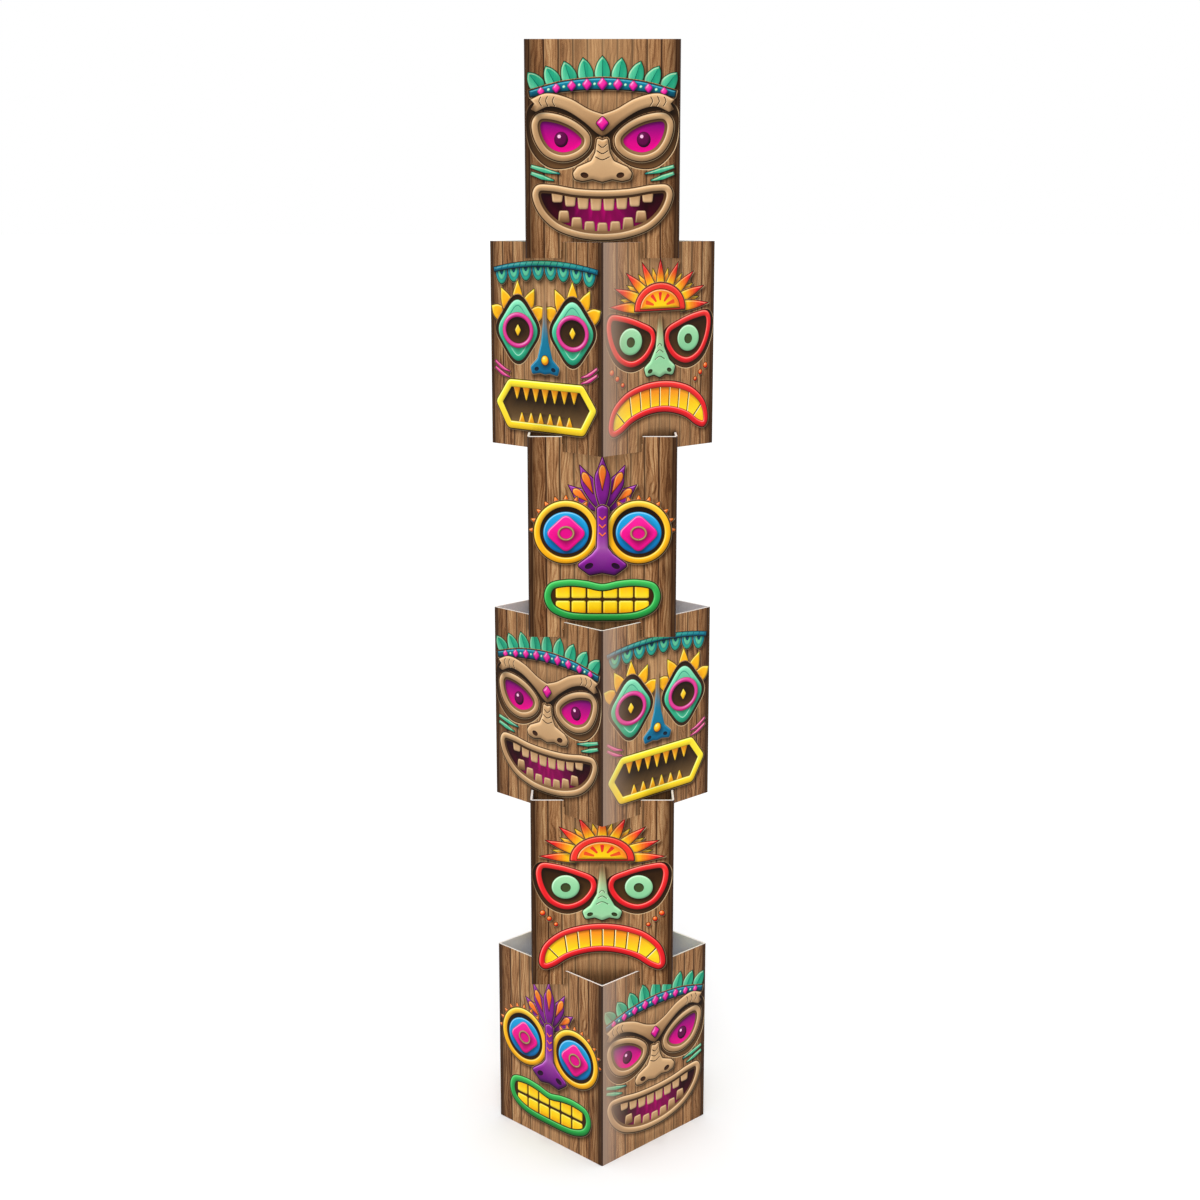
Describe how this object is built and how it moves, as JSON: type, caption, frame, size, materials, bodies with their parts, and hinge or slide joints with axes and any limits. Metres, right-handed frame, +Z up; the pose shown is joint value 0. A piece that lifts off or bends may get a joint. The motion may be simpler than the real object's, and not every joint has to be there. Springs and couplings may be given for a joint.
{
  "type": "tiki column party decoration",
  "caption": "Tall standing party column of open square printed card sleeves, each turned an eighth turn to the next and slotted into it, with tiki masks on plank-pattern faces.",
  "frame": {"origin": "middle of the footprint, on the floor", "axes": "+Z up along the column; the front, where the top sleeve shows a flat face, looks along -Y"},
  "size_m": [0.3552, 0.3552, 1.8],
  "materials": {
    "printed_card_1": "satin",
    "printed_card_2": "satin",
    "printed_card_3": "satin",
    "printed_card_4": "satin",
    "printed_card_5": "satin",
    "printed_card_6": "satin"
  },
  "bodies": {
    "root": {"sleeve_1_top": "printed_card_1", "sleeve_2": "printed_card_2", "sleeve_3": "printed_card_3", "sleeve_4": "printed_card_4", "sleeve_5": "printed_card_5", "sleeve_6_base": "printed_card_6"}
  },
  "joints": []
}
